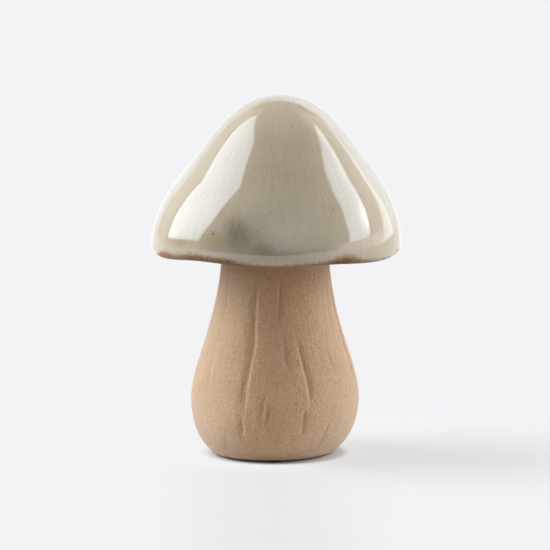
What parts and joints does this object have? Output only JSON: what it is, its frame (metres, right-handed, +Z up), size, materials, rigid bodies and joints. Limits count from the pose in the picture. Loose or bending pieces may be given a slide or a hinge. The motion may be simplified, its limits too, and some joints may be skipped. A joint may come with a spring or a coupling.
{
  "type": "mushroom ornament",
  "caption": "Free-standing ceramic mushroom ornament: a hollow glazed conical cap bonded by spigot and socket onto a hollow, wrinkled stem of bare clay.",
  "frame": {"origin": "centre of the base, on the surface that the ornament stands on", "axes": "+Z up through the crown of the cap; the side of the stem with the deepest wrinkles, which the picture shows, faces -Y; +X to the right of that view"},
  "size_m": [0.1192, 0.1192, 0.1723],
  "materials": {
    "bare_clay": "unglazed, sandy and matte, with carved wrinkles",
    "glaze": "gloss reactive glaze, breaking to brown at the rim; the underside is bare clay",
    "adhesive": "matte",
    "felt": "felt"
  },
  "bodies": {
    "root": {"stem": "bare_clay", "cap": "glaze", "bond_ring": "adhesive", "felt_pad_1": "felt", "felt_pad_2": "felt", "felt_pad_3": "felt", "felt_pad_4": "felt"}
  },
  "joints": []
}
